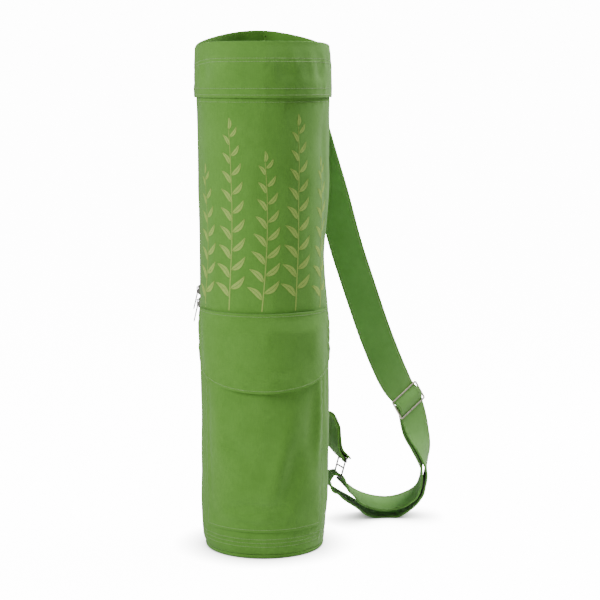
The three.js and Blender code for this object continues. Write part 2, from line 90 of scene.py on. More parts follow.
class Finish:
    """A material or a room's air being made: its tree, and its one shader."""

    def __init__(self, made, shader="Principled BSDF"):
        made.use_nodes = True
        self.made = made
        self.tree = made.node_tree
        self.shader = self.tree.nodes[shader]

    def node(self, kind, settings=None, sockets=None, output=0):
        """Adds a node with its settings, then the values or links of its sockets."""
        made = self.tree.nodes.new("ShaderNode" + kind)
        for key, value in (settings or {}).items():
            if key == "stops":
                for stop, (spot, colour) in zip(made.color_ramp.elements, value):
                    stop.position, stop.color = spot, (*colour, 1)
            else:
                setattr(made, key, value)
        for key, value in (sockets or {}).items():
            self.set(made.inputs[key], value)
        return Value(self.tree, made.outputs[output])

    def set(self, socket, value):
        if isinstance(value, Value):
            self.tree.links.new(value.socket, socket)
        elif hasattr(value, "__len__") and socket.type == "RGBA":
            socket.default_value = (*value, 1)
        else:
            socket.default_value = value

    def shade(self, **sockets):
        for key, value in sockets.items():
            self.set(self.shader.inputs[key.replace("_", " ")], value)


def mixed(finish, low, high, share):
    """A colour between two colours or links."""
    return finish.node("Mix", {"data_type": "RGBA"}, {0: share, 6: low, 7: high}, output=2)


floor_size = 400
floor_glow = 14.0
painted_shadow_reach = 0.045
painted_shadow_depth = 2.2
bpy.ops.mesh.primitive_plane_add(size=floor_size)
floor = bpy.context.object
floor.name = "floor"
white = Finish(bpy.data.materials.new("floor_white"))
# Painted contact shadow: the camera's glow is dimmed by ambient occlusion within a reach of the bag.
painted_shadow_openness = white.node("AmbientOcclusion", {"samples": 16}, {"Distance": painted_shadow_reach}, output=1)
for_camera = white.node("LightPath")
glow_with_painted_shadow = mixed(white, (0, 0, 0), (1, 1, 1), for_camera * painted_shadow_openness.math("POWER", painted_shadow_depth))
white.shade(Base_Color=(0.8, 0.8, 0.8), Roughness=1, Emission_Color=glow_with_painted_shadow,
            Emission_Strength=floor_glow)
floor.data.materials.append(white.made)


# Light: a white room, a large soft lamp at the left front, one above, and one high at the right
# rear for the bag's right edge and the strap. Power in watts, size in metres.
lamps = [
    {"name": "key", "place": (-2.3, -1.5, 1.6), "power": 70, "size": 1.2},
    {"name": "top", "place": (0.0, -0.3, 2.4), "power": 14, "size": 1.6},
    {"name": "rim", "place": (1.1, 0.50, 1.60), "power": 38, "size": 0.8},
]
aim = Vector((0.03, 0, 0.33))
room_glow = 0.16
for lamp in lamps:
    place = Vector(lamp["place"])
    bpy.ops.object.light_add(type="AREA", location=place,
                             rotation=(aim - place).to_track_quat("-Z", "Y").to_euler())
    light = bpy.context.object
    light.name = lamp["name"]
    light.data.energy = lamp["power"]
    light.data.size = lamp["size"]
room = bpy.data.worlds.new("room")
bpy.context.scene.world = room
air = Finish(room, "Background")
seen = air.node("LightPath")
unseen = [room_glow / floor_glow] * 3
air.shade(Color=mixed(air, unseen, (1, 1, 1), seen), Strength=floor_glow)


# Body wall: one panel of washed cotton twill round the tube. Its two upright edges are turned in
# and stitched to the zip on the left side, and its foot is sewn to the base.
seam_height = 0.581
tube_radius = 0.0832
canvas_thick = 0.0016
seat = 0.0003
collar_lap = 0.011
zip_turn = -98
zip_slot = 0.0064
base_lip = 0.0054

# Heights are shares of the seam height, girths and shifts shares of the tube's radius.
tube_form = [
    {"up": 0.010, "girth": 0.926, "shift": 0.000},
    {"up": 0.024, "girth": 0.952, "shift": -0.008},
    {"up": 0.053, "girth": 0.973, "shift": 0.000},
    {"up": 0.120, "girth": 0.989, "shift": 0.009},
    {"up": 0.284, "girth": 1.002, "shift": 0.020},
    {"up": 0.430, "girth": 0.995, "shift": 0.008},
    {"up": 0.690, "girth": 0.992, "shift": -0.003},
    {"up": 0.860, "girth": 1.004, "shift": -0.006},
    {"up": 1.020, "girth": 1.015, "shift": -0.006},
]
tube_dents = [
    {"turn": 92, "up": 0.66, "across": 40, "tall": 0.115, "deep": 0.056},
    {"turn": 20, "up": 0.79, "across": 30, "tall": 0.085, "deep": 0.016},
    {"turn": -140, "up": 0.50, "across": 34, "tall": 0.160, "deep": 0.034},
    {"turn": 165, "up": 0.27, "across": 30, "tall": 0.120, "deep": 0.028},
    {"turn": 60, "up": 0.90, "across": 22, "tall": 0.060, "deep": 0.018},
]


def ease(t):
    t = min(1, max(0, t))
    return t * t * (3 - 2 * t)


def lerp(a, b, t):
    return a + (b - a) * t


def column(table, key, share):
    """A column of a table of sections at a height share, smoothly between its rows."""
    if share <= table[0]["up"]:
        return table[0][key]
    for low, high in zip(table, table[1:]):
        if share < high["up"]:
            t = (share - low["up"]) / (high["up"] - low["up"])
            return lerp(low[key], high[key], (ease(t) + t) / 2)
    return table[-1][key]


def dent_at(dents, turn, share):
    """Depth of the soft dents, in metres, at a turn in degrees from the front."""
    depth = 0
    for dent in dents:
        across = abs((turn - dent["turn"] + 180) % 360 - 180) / dent["across"]
        tall = (share - dent["up"]) / dent["tall"]
        depth += dent["deep"] * math.exp(-1.6 * (across * across + tall * tall))
    return depth * tube_radius


def round_tube(turn, radius, shift, height):
    a = math.radians(turn)
    return Vector((shift + radius * math.sin(a), -radius * math.cos(a), height))


def on_tube(turn, height, out):
    """A place on the tube's smooth outer face, pushed out by a distance."""
    share = height / seam_height
    radius = column(tube_form, "girth", share) * tube_radius - dent_at(tube_dents, turn, share)
    return round_tube(turn, radius + out, column(tube_form, "shift", share) * tube_radius, height)


def tube_turn(length):
    """Degrees round the tube that a length of cloth covers."""
    return math.degrees(length / tube_radius)


def slack(turn, height, size, amount):
    """Soft waves of cloth that is not pulled tight, longer upwards than across."""
    a = math.radians(turn)
    spot = Vector((math.sin(a) * tube_radius, math.cos(a) * tube_radius, height * 0.45)) / size
    return noise.noise(spot) * amount


def pucker(distance, along, reach, amount):
    """Small ripples where a line of stitches draws the cloth in."""
    ripple = noise.noise(Vector((along / 0.0075, distance / 0.03, 3.1)))
    return amount * math.exp(-(distance / reach) ** 2) * (ripple - 0.25)


def fold_at(folds, turn, height):
    """Height of the long soft folds. Each runs between two places given as turn and height."""
    total = 0
    for fold in folds:
        (turn_a, up_a), (turn_b, up_b) = fold["from"], fold["to"]
        run = Vector((math.radians(turn_b - turn_a) * tube_radius, up_b - up_a))
        spot = Vector((math.radians(turn - turn_a) * tube_radius, height - up_a))
        t = min(1, max(0, spot.dot(run) / run.length_squared))
        off = (spot - run * t).length / fold["wide"]
        total += fold["proud"] * math.exp(-off * off) * (0.35 + 0.65 * math.sin(math.pi * t))
    return total


body_folds = [
    {"from": (66, 0.560), "to": (78, 0.330), "wide": 0.009, "proud": -0.0019},
    {"from": (48, 0.565), "to": (30, 0.420), "wide": 0.014, "proud": -0.0015},
    {"from": (-52, 0.560), "to": (-48, 0.330), "wide": 0.012, "proud": 0.0014},
    {"from": (78, 0.300), "to": (70, 0.180), "wide": 0.006, "proud": -0.0024},
    {"from": (70, 0.190), "to": (80, 0.050), "wide": 0.007, "proud": 0.0017},
    {"from": (150, 0.540), "to": (172, 0.250), "wide": 0.012, "proud": 0.0020},
    {"from": (-160, 0.500), "to": (-146, 0.120), "wide": 0.014, "proud": -0.0024},
    {"from": (-120, 0.380), "to": (-130, 0.120), "wide": 0.010, "proud": 0.0017},
    {"from": (112, 0.500), "to": (140, 0.060), "wide": 0.013, "proud": -0.0017},
]
body_foot = base_lip + seat
body_top = seam_height + collar_lap
foot_rows = [0.0165, 0.0215, 0.0265]
pocket_foot = 0.036
pocket_half = 61
flap_top = 0.315
flap_low = 0.25
flap_half = 75.6


def covered(turn, height):
    """1 where the pocket and its flap lie on the wall, 0 clear of them."""
    half = pocket_half if height < flap_low else flap_half
    sides = ease((half + 6 - abs((turn + 180) % 360 - 180)) / 6)
    return sides * ease((height - pocket_foot + 0.008) / 0.008) * ease((flap_top + 0.006 - height) / 0.006)


def body_relief(turn, height):
    """What the wall's cloth adds to the smooth tube."""
    held = ease((height - body_foot) / 0.02) * ease((body_top - height) / 0.03)
    along = math.radians(turn) * tube_radius
    relief = slack(turn, height, 0.050, 0.0022) + slack(turn + 40, height, 0.018, 0.0007)
    relief += fold_at(body_folds, turn, height)
    zip_side = math.radians(abs((turn - zip_turn + 180) % 360 - 180)) * tube_radius
    relief *= held * ease((zip_side - 0.004) / 0.02)
    relief = lerp(relief, min(0, relief) - 0.0001, covered(turn, height))
    relief += pucker(height - seam_height + 0.004, along, 0.010, 0.0011)
    relief += pucker(height - foot_rows[1], along, 0.012, 0.0011) * ease((height - body_foot) / 0.004)
    return relief


def wall(turn, height, out=0.0):
    return on_tube(turn, height, body_relief(turn, height) + out)


def spaced(start, end, step, marks=()):
    """Even steps from start to end, with close extra ones beside each mark."""
    count = max(1, round((end - start) / step))
    stops = {round(start + (end - start) * i / count, 6) for i in range(count + 1)}
    for mark in marks:
        stops -= {stop for stop in stops if abs(stop - mark) < 0.0017 and start < stop < end}
        stops |= {round(mark + off, 6) for off in (-0.0014, -0.0007, 0, 0.0007, 0.0014)}
    return sorted(stop for stop in stops if start <= stop <= end)


def cloth(name, across, along, place):
    """A sheet of cloth. A flat grid is taken to its place, and keeps its flat size as its UV map."""
    bpy.ops.object.select_all(action="DESELECT")
    bpy.ops.mesh.primitive_grid_add(x_subdivisions=len(across) - 1,
                                    y_subdivisions=len(along) - 1, size=1)
    sheet = bpy.context.object
    sheet.name = name
    flat = [(u, v) for v in along for u in across]
    for vertex, (u, v) in zip(sheet.data.vertices, flat):
        vertex.co = place(u, v)
    uv = sheet.data.uv_layers.active.data
    for loop in sheet.data.loops:
        uv[loop.index].uv = flat[loop.vertex_index]
    return sheet


def finish_cloth(sheet, thickness, edge=0.0004):
    """Gives the sheet its thickness inwards and soft cut edges, and shades it smooth."""
    bpy.ops.object.select_all(action="DESELECT")
    bpy.context.view_layer.objects.active = sheet
    sheet.select_set(True)
    bpy.ops.object.mode_set(mode="EDIT")
    bpy.ops.mesh.select_all(action="SELECT")
    bpy.ops.mesh.remove_doubles(threshold=0.00001)
    bpy.ops.object.mode_set(mode="OBJECT")
    wall_made = sheet.modifiers.new("thickness", "SOLIDIFY")
    wall_made.thickness = thickness
    wall_made.offset = -1
    edge_made = sheet.modifiers.new("edge", "BEVEL")
    edge_made.width = edge
    edge_made.segments = 2
    edge_made.limit_method = "ANGLE"
    edge_made.angle_limit = math.radians(50)
    bpy.ops.object.modifier_apply(modifier="thickness")
    bpy.ops.object.modifier_apply(modifier="edge")
    bpy.ops.object.shade_smooth_by_angle(angle=math.radians(45))


def canvas_finish(name, deep, lit):
    """Washed cotton twill: a fine diagonal weave, uneven yarns and faint cloudy fading."""
    cotton = Finish(bpy.data.materials.new(name))
    flat = cotton.node("TexCoord", output=2)
    place = cotton.node("TexCoord", output=3)
    turned = cotton.node("Mapping", {}, {"Vector": flat, "Rotation": (0, 0, math.radians(58))})
    twill = cotton.node("TexWave", {"wave_type": "BANDS", "bands_direction": "X"},
                        {"Vector": turned, "Scale": 330, "Distortion": 1.2, "Detail": 2,
                         "Detail Scale": 2.0}, output=1)
    yarn = cotton.node("Mapping", {}, {"Vector": flat, "Scale": (900, 90, 1)})
    slub = cotton.node("TexNoise", {}, {"Vector": yarn, "Scale": 1, "Detail": 3}, output=0)
    weft = cotton.node("Mapping", {}, {"Vector": flat, "Scale": (120, 1100, 1)})
    weft_slub = cotton.node("TexNoise", {}, {"Vector": weft, "Scale": 1, "Detail": 2}, output=0)
    clouds = cotton.node("TexNoise", {}, {"Vector": place, "Scale": 22, "Detail": 4,
                                          "Roughness": 0.6}, output=0)
    fading = cotton.node("TexNoise", {}, {"Vector": place, "Scale": 140, "Detail": 3}, output=0)
    share = ((twill - 0.5) * 0.16 + (slub - 0.5) * 0.5 + (weft_slub - 0.5) * 0.35
             + (clouds - 0.5) * 0.75 + (fading - 0.5) * 0.35 + 0.5)
    weave = twill * 0.6 + slub * 0.5 + weft_slub * 0.5
    bump = cotton.node("Bump", {}, {"Strength": 0.55, "Distance": 0.0003, "Height": weave})
    cotton.shade(Base_Color=mixed(cotton, deep, lit, share), Roughness=0.9 - clouds * 0.12,
                 Normal=bump, Specular_IOR_Level=0.25, Sheen_Weight=0.18, Sheen_Roughness=0.5)
    return cotton.made


leaf_canvas = canvas_finish("leaf_green_canvas", (0.095, 0.262, 0.026), (0.150, 0.372, 0.052))


def dress(piece, material, body="bag", stands_for=()):
    """Gives a piece its finish, and fastens it to its place on the bag."""
    piece.data.materials.clear()
    piece.data.materials.append(material)
    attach(piece, body)
    if stands_for:
        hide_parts(*stands_for)


cloth_step = 0.0029
half_slot = zip_slot / 2
girth = 2 * math.pi * tube_radius
body_across = spaced(half_slot, girth - half_slot, cloth_step)
body_up = spaced(body_foot, body_top, cloth_step, (*foot_rows, seam_height - 0.005))
body_wall = cloth("body_wall_cloth", body_across, body_up,
                  lambda u, v: wall(zip_turn + tube_turn(u), v))
finish_cloth(body_wall, canvas_thick)
dress(body_wall, leaf_canvas, stands_for=["body_wall"])


# Collar: a doubled band sewn over the top of the wall. Its hem is turned in round the open mouth
# and held by two rows of stitches, and the mouth slumps inwards a little.
rim_height = 0.650
rim_rise = 0.017
rim_dip = 0.007
rim_twist = 6
rim_draw = 0.009
doubled = 0.0022
collar_form = [
    {"up": 0.00, "girth": 1.047, "shift": 0.002},
    {"up": 0.25, "girth": 1.047, "shift": 0.002},
    {"up": 0.60, "girth": 1.046, "shift": 0.000},
    {"up": 0.82, "girth": 1.041, "shift": 0.000},
    {"up": 1.00, "girth": 1.030, "shift": -0.010},
]
collar_dents = [
    {"turn": 38, "up": 0.45, "across": 26, "tall": 0.50, "deep": 0.022},
    {"turn": -62, "up": 0.30, "across": 18, "tall": 0.50, "deep": 0.014},
    {"turn": 172, "up": 0.70, "across": 30, "tall": 0.45, "deep": 0.016},
    {"turn": -130, "up": 0.80, "across": 26, "tall": 0.40, "deep": 0.012},
]
collar_folds = [
    {"from": (14, 0.640), "to": (22, 0.586), "wide": 0.012, "proud": -0.0024},
    {"from": (30, 0.625), "to": (36, 0.590), "wide": 0.009, "proud": 0.0015},
    {"from": (52, 0.640), "to": (58, 0.584), "wide": 0.008, "proud": -0.0021},
    {"from": (-58, 0.630), "to": (-54, 0.584), "wide": 0.010, "proud": -0.0018},
    {"from": (-40, 0.640), "to": (-36, 0.600), "wide": 0.012, "proud": 0.0014},
    {"from": (120, 0.640), "to": (135, 0.590), "wide": 0.012, "proud": -0.0027},
    {"from": (-150, 0.645), "to": (-160, 0.590), "wide": 0.012, "proud": -0.0024},
]
collar_rows = [0.0035, 0.0115]
hem_rows = [0.0210, 0.0250]


def rim_at(turn):
    forward = math.cos(math.radians(turn - rim_twist))
    sunken = math.exp(-(forward / 0.37) ** 2)
    return rim_height + rim_rise * min(0, forward) ** 2 - rim_dip * sunken


def collar_place(turn, share, out=0.0):
    height = lerp(seam_height, rim_at(turn), share)
    lapped = ease((share - 0.14) / 0.3)
    draw = rim_draw * math.cos(math.radians(turn)) ** 2 * ease((share - 0.55) / 0.45)
    dent = dent_at(collar_dents, turn, share) * lapped
    free = column(collar_form, "girth", share) * tube_radius - dent - draw
    up = height / seam_height
    held = column(tube_form, "girth", up) * tube_radius + 2 * seat + doubled
    radius = lerp(max(held, free), free, lapped)
    shift = lerp(column(tube_form, "shift", up), column(collar_form, "shift", share), lapped)
    along = math.radians(turn) * tube_radius
    rise = height - seam_height
    relief = (slack(turn, height, 0.030, 0.0022) + fold_at(collar_folds, turn, height)) * lapped
    relief += pucker(rise - collar_rows[1], along, 0.008, 0.0012) + 0.0003
    relief += pucker(rim_at(turn) - height - hem_rows[1], along, 0.008, 0.0013) * lapped
    return round_tube(turn, radius + relief + out, shift * tube_radius, height)


def unroll(sheet, flat):
    """Turns the sheet's UV map from the values of its grid into metres on the flat cloth."""
    for corner in sheet.data.uv_layers.active.data:
        corner.uv = flat(*corner.uv)


collar_tall = rim_height - seam_height
collar_marks = [row / collar_tall for row in collar_rows] + [1 - row / collar_tall for row in hem_rows]
collar_up = [stop / collar_tall for stop in
             spaced(0, collar_tall, 0.0022, [mark * collar_tall for mark in collar_marks])]
collar_across = spaced(-180, 180, 1.8)
collar = cloth("collar_cloth", collar_across, collar_up, collar_place)
unroll(collar, lambda turn, share: (math.radians(turn) * tube_radius, seam_height + share * collar_tall))
finish_cloth(collar, doubled, edge=0.0008)
dress(collar, leaf_canvas, stands_for=["collar"])


# Base: a round panel of the same twill. Its edge turns up to the seam with the wall.
base_radius = 0.078
base_canvas = 0.0018
base_rim = [(-0.0009, base_lip), (-0.0006, 0.0036), (-0.0011, 0.0020), (-0.0022, 0.0007), (-0.0042, 0)]


def base_place(around, share):
    """Round the base in turns, and from its upper edge (0) down and in to its middle (1)."""
    steps = len(base_rim) - 1
    if share <= 0.3:
        spot = share / 0.3 * steps
        i = min(steps - 1, int(spot))
        (in_a, up_a), (in_b, up_b) = base_rim[i], base_rim[i + 1]
        return round_tube(-around * 360, base_radius + lerp(in_a, in_b, spot - i), 0,
                          lerp(up_a, up_b, spot - i))
    return round_tube(-around * 360, (base_radius + base_rim[-1][0]) * (1 - share) / 0.7, 0, 0)


base = cloth("base_cloth", [i / 120 for i in range(121)],
             [i / 60 for i in range(24)] + [0.4 + 0.06 * i for i in range(11)], base_place)
for loop, corner in zip(base.data.loops, base.data.uv_layers.active.data):
    spot = base.data.vertices[loop.vertex_index].co
    corner.uv = (spot.x, spot.y + spot.z)
finish_cloth(base, base_canvas)
shade_canvas = canvas_finish("leaf_green_canvas_base", (0.092, 0.255, 0.025), (0.145, 0.360, 0.050))
dress(base, shade_canvas, stands_for=["base_panel"])


# Cargo pocket: a patch of the same twill across the front, sewn at its foot and sides and open
# at its top. It stands a little off the wall and sags into soft folds.
pocket_top = 0.283
pocket_slack = 0.0033
pocket_seam = 0.0034
under_flap = 0.21
pocket_dents = [
    {"turn": 8, "up": 0.42, "across": 34, "tall": 0.10, "deep": -0.012},
    {"turn": 26, "up": 0.16, "across": 16, "tall": 0.07, "deep": 0.012},
    {"turn": -30, "up": 0.24, "across": 16, "tall": 0.10, "deep": -0.008},
]
pocket_folds = [
    {"from": (26, 0.190), "to": (2, 0.060), "wide": 0.012, "proud": 0.0037},
    {"from": (34, 0.150), "to": (14, 0.062), "wide": 0.013, "proud": -0.0031},
    {"from": (-30, 0.066), "to": (18, 0.068), "wide": 0.0075, "proud": -0.0037},
    {"from": (-30, 0.054), "to": (20, 0.053), "wide": 0.0060, "proud": 0.0017},
    {"from": (-3, 0.062), "to": (3, 0.070), "wide": 0.0024, "proud": -0.0015},
    {"from": (-38, 0.160), "to": (-10, 0.125), "wide": 0.012, "proud": -0.0024},
    {"from": (-46, 0.215), "to": (-30, 0.100), "wide": 0.014, "proud": 0.0020},
    {"from": (46, 0.220), "to": (40, 0.120), "wide": 0.010, "proud": -0.0024},
    {"from": (55, 0.260), "to": (52, 0.120), "wide": 0.006, "proud": 0.0020},
    {"from": (-56, 0.230), "to": (-54, 0.080), "wide": 0.005, "proud": -0.0014},
]


def pocket_out(turn, height):
    """How far the pocket's outer face stands off the tube."""
    across = turn / pocket_half
    up = (height - pocket_foot) / (pocket_top - pocket_foot)
    inside = max(0, 1 - across ** 4) ** 0.6
    risen = ease(up / 0.22) * (1 - 0.25 * ease((up - 0.8) / 0.2))
    dent = dent_at(pocket_dents, turn, height / seam_height)
    stand = max(0, pocket_slack - dent) * inside * min(1, max(0, risen))
    beyond = max(0, abs(turn) - pocket_half) / 8
    return seat + (canvas_thick + stand) * (1 - ease(min(1, beyond)))


def pocket_place(turn, height, out=0.0):
    side = (pocket_half - abs(turn)) / pocket_half
    sewn_down = ease(side / 0.10) * ease((height - pocket_foot) / 0.012)
    held = sewn_down * (1 - 0.75 * ease((height - under_flap) / 0.025))
    relief = (fold_at(pocket_folds, turn, height) + slack(turn + 90, height, 0.028, 0.0020)) * held
    along = math.radians(turn) * tube_radius
    relief += pucker(height - pocket_foot - 0.003, along, 0.009, 0.0011)
    relief += pucker(side * math.radians(pocket_half) * tube_radius - 0.004, height, 0.008, 0.0012)
    stand = max(seat + canvas_thick, pocket_out(turn, height) + relief)
    return on_tube(turn, height, stand + out)


pocket_width = math.radians(2 * pocket_half) * tube_radius
pocket_edge = pocket_width / 2 - pocket_seam
pocket_row = pocket_foot + pocket_seam
pocket_step = 0.0021
pocket = cloth("cargo_pocket_cloth",
               spaced(-pocket_width / 2, pocket_width / 2, pocket_step, (-pocket_edge, pocket_edge)),
               spaced(pocket_foot, pocket_top, pocket_step, (pocket_row,)),
               lambda u, v: pocket_place(tube_turn(u), v))
finish_cloth(pocket, canvas_thick, edge=0.0005)
dress(pocket, leaf_canvas, stands_for=["cargo_pocket"])


# Pocket flap: doubled twill with a rounded lower edge, topstitched all round. It hangs from its
# sewn upper edge over the pocket's mouth.
flap_side = 0.057
flap_middle = 0.099
flap_curve = 1.9
flap_lie = 0.0009
flap_folds = [
    {"from": (-30, 0.275), "to": (10, 0.262), "wide": 0.016, "proud": -0.0027},
    {"from": (0, 0.250), "to": (30, 0.262), "wide": 0.018, "proud": -0.0024},
    {"from": (2, 0.290), "to": (6, 0.240), "wide": 0.006, "proud": 0.0012},
    {"from": (-60, 0.300), "to": (-52, 0.245), "wide": 0.012, "proud": 0.0017},
    {"from": (48, 0.300), "to": (44, 0.250), "wide": 0.012, "proud": 0.0014},
    {"from": (-30, 0.232), "to": (24, 0.230), "wide": 0.009, "proud": 0.0014},
]


def flap_length(across):
    return flap_side + (flap_middle - flap_side) * (1 - abs(across) ** flap_curve) ** 0.5


def flap_place(across, share, out=0.0):
    """Across the flap from edge (-1) to edge (1), and from its lower edge (0) to its top (1)."""
    length = flap_length(across)
    turn = across * flap_half
    height = flap_top - (1 - share) * length
    over = ease((flap_top - 0.003 - height) / 0.024)
    lies = lerp(seat * 2, pocket_out(turn, min(height, pocket_top)) + flap_lie, over)
    edge = min((1 - abs(across)) * math.radians(flap_half) * tube_radius, share * length)
    loose = ease((flap_top - height) / 0.02)
    along = math.radians(turn) * tube_radius
    relief = (fold_at(flap_folds, turn, height) + slack(turn - 60, height, 0.030, 0.0018)) * loose
    curl = 0.0007 * loose * (1 - ease(edge / 0.012))
    relief += pucker(edge - 0.004, along + height, 0.007, 0.0011) + curl
    relief += 0.0022 * loose * covered_fold(turn, height)
    return on_tube(turn, height, lies + doubled + max(-flap_lie / 2, relief) + out)


def covered_fold(turn, height):
    """The flap rides over the pocket's folds, which lift it a little at its lower edge."""
    return ease((0.26 - height) / 0.05) * max(0, math.cos(math.radians(turn * 1.2))) ** 2


flap_columns = 110
flap_across = [math.sin(math.pi * (i / flap_columns - 0.5)) for i in range(flap_columns + 1)]
flap_up = [0, 0.007, 0.015, 0.025] + [0.035 + 0.965 * i / 44 for i in range(45)]
flap = cloth("pocket_flap_cloth", flap_across, flap_up, flap_place)
unroll(flap, lambda across, share: (across * math.radians(flap_half) * tube_radius,
                                    flap_top - (1 - share) * flap_length(across)))
finish_cloth(flap, doubled, edge=0.0007)
flap_width = math.radians(2 * flap_half) * tube_radius
flap_area = sum(flap_length(2 * (i + 0.5) / 200 - 1) for i in range(200)) / 200 * flap_width
dress(flap, leaf_canvas, stands_for=["pocket_flap"])


# Shoulder strap: a folded and stitched strap of the wall's twill, in a paler copy of its colour that
# paints on light the strap does not get from the lamps. It is sewn under the collar, runs over the
# slide's middle bar down to the floor, goes round the ring's lower bar and back up to its sewn end
# behind the slide.
# Painted light: the strap's twill is made paler than the wall's to stand in for light on the strap.
strap_canvas_painted_light = canvas_finish("leaf_green_canvas_strap_painted_light", (0.140, 0.350, 0.062), (0.205, 0.465, 0.112))
strap_width = 0.044
strap_seam = strap_width / 2 - 0.0032
strap_thick = 0.0024
strap_turn = 126
strap_reach = 0.225
strap_back = 0.142
bar_pitch = 0.014
bar_thick = 0.0022
bar_clear = 0.0009
fall_stations = [
    {"out": 0.322, "back": 0.391, "up": 0.921, "side": (0.66, -0.75, 0.05), "cup": -2.0},
    {"out": 0.351, "back": 0.465, "up": 0.857, "side": (0.82, -0.56, 0.10), "cup": -1.2},
    {"out": 0.408, "back": 0.563, "up": 0.764, "side": (0.93, -0.33, 0.18), "cup": -0.4},
    {"out": 0.468, "back": 0.634, "up": 0.671, "side": (0.955, -0.12, 0.25), "cup": 0.8},
    {"out": 0.565, "back": 0.690, "up": 0.554, "side": (0.95, 0.0, 0.30), "cup": 0.8},
    {"out": 0.672, "back": 0.739, "up": 0.434, "side": (0.95, 0.05, 0.31), "cup": 0.8},
    {"out": 0.775, "back": 0.789, "up": 0.340, "side": (0.86, 0.30, 0.40), "cup": 0.4},
]
loop_outer = [
    {"out": 0.925, "back": 0.887, "up": 0.212, "side": (0.70, 0.68, 0.22)},
    {"out": 0.968, "back": 0.880, "up": 0.164, "side": (0.42, 0.90, 0.10)},
    {"out": 0.984, "back": 0.880, "up": 0.115, "side": (0.06, 1, 0)},
    {"out": 0.973, "back": 0.887, "up": 0.084, "side": (0, 1, 0)},
    {"out": 0.958, "back": 0.901, "up": 0.060, "side": (0, 1, 0)},
    {"out": 0.905, "back": 0.944, "up": 0.029, "side": (0, 1, 0)},
    {"out": 0.820, "back": 0.986, "up": 0.004, "side": (0, 1, 0)},
    {"out": 0.749, "back": 1.000, "up": 0.000, "side": (0, 1, 0)},
    {"out": 0.676, "back": 0.990, "up": 0.001, "side": (0, 1, 0)},
    {"out": 0.609, "back": 0.944, "up": 0.011, "side": (-0.02, 1, 0)},
    {"out": 0.534, "back": 0.870, "up": 0.034, "side": (-0.06, 0.99, 0)},
    {"out": 0.432, "back": 0.745, "up": 0.067, "side": (-0.12, 0.99, -0.04)},
]
loop_inner = [
    {"out": 0.518, "back": 0.787, "up": 0.066, "side": (-0.05, 0.99, 0.02)},
    {"out": 0.579, "back": 0.871, "up": 0.045, "side": (-0.02, 0.99, 0.10)},
    {"out": 0.674, "back": 0.948, "up": 0.028, "side": (0, 0.98, 0.18)},
    {"out": 0.769, "back": 0.983, "up": 0.0245, "side": (0, 0.98, 0.20)},
    {"out": 0.862, "back": 0.950, "up": 0.037, "side": (0, 0.98, 0.18)},
    {"out": 0.921, "back": 0.918, "up": 0.056, "side": (0, 0.99, 0.10)},
    {"out": 0.947, "back": 0.890, "up": 0.080, "side": (0.02, 1, 0.04)},
    {"out": 0.956, "back": 0.873, "up": 0.118, "side": (0.08, 1, 0)},
    {"out": 0.940, "back": 0.884, "up": 0.163, "side": (0.42, 0.90, 0.10)},
    {"out": 0.905, "back": 0.908, "up": 0.210, "side": (0.68, 0.70, 0.22)},
]
# Round the ring's lower bar, in bar pitches from the ring's middle.
ring_turn = [
    {"down": 2.10, "off": -0.36, "far": 0.65},
    {"down": 1.72, "off": -0.66, "far": 0.35},
    {"down": 1.25, "off": -0.72, "far": 0.20},
    {"down": 0.80, "off": -0.38, "far": 0.06},
]
ring_leave = [
    {"down": 1.25, "off": 0.62, "far": 0.15},
    {"down": 1.75, "off": 1.04, "far": 0.45},
]


class Hardware:
    """The frame of a slide or ring: x along its bars, y along the strap, z out of its face."""

    def __init__(self, place, bars, run):
        self.at = Vector(place)
        self.x = Vector(bars).normalized()
        self.y = (Vector(run) - self.x * Vector(run).dot(self.x)).normalized()
        self.z = self.y.cross(self.x)

    def spot(self, x, y, z):
        return self.at + self.x * x + self.y * y + self.z * z

    def station(self, y, z, x=0.0):
        return {"place": self.spot(x, y, z), "side": self.x.copy(), "cup": 0}


slide = Hardware((0.1956, 0.120, 0.1668), (0.662, 0.553, 0.5), (0.464, 0.22, -0.859))
ring = Hardware((0.1013, 0.0935, 0.0806), (-0.163, 0.979, -0.12), (-0.261, -0.16, -0.952))


def smooth_point(points, t, even):
    """A place on a smooth line through the points, at a share of their count."""
    last = len(points) - 1
    i = min(last - 1, int(t * last))
    w = t * last - i
    p1, p2 = points[i], points[i + 1]
    p0 = points[i - 1] if i else p1 * 2 - p2
    p3 = points[i + 2] if i + 2 <= last else p2 * 2 - p1
    if even:
        d0, d1, d2 = ((b - a).length ** 0.5 for a, b in ((p0, p1), (p1, p2), (p2, p3)))
        t1 = ((p1 - p0) / d0 - (p2 - p0) / (d0 + d1) + (p2 - p1) / d1) * d1
        t2 = ((p2 - p1) / d1 - (p3 - p1) / (d1 + d2) + (p3 - p2) / d2) * d1
    else:
        t1, t2 = (p2 - p0) / 2, (p3 - p1) / 2
    return p1 + t1 * w + ((p2 - p1) * 3 - t1 * 2 - t2) * w ** 2 + ((p1 - p2) * 2 + t1 + t2) * w ** 3


def band_rows(stations, steps):
    """Rows of a band of cloth: for each, its length from the start and its frame."""
    places = [station["place"] for station in stations]
    sides = [Vector(station["side"]) for station in stations]
    cups = [Vector((station["cup"] * 0.001, 0, 0)) for station in stations]
    count = (len(stations) - 1) * steps
    rows = {}
    length = 0
    before = places[0]
    for i in range(count + 1):
        t = i / count
        place = smooth_point(places, t, True)
        along = (smooth_point(places, min(1, t + 0.0001), True)
                 - smooth_point(places, max(0, t - 0.0001), True)).normalized()
        side = smooth_point(sides, t, False)
        side = (side - along * side.dot(along)).normalized()
        length += (place - before).length
        before = place
        rows[round(length, 7)] = {"place": place, "along": along, "side": side,
                                  "face": along.cross(side), "cup": smooth_point(cups, t, False).x}
    return rows


def band_place(row, across, width, lift):
    share = across / width
    return row["place"] + row["side"] * across + row["face"] * (lift - row["cup"] * 4 * share * share)


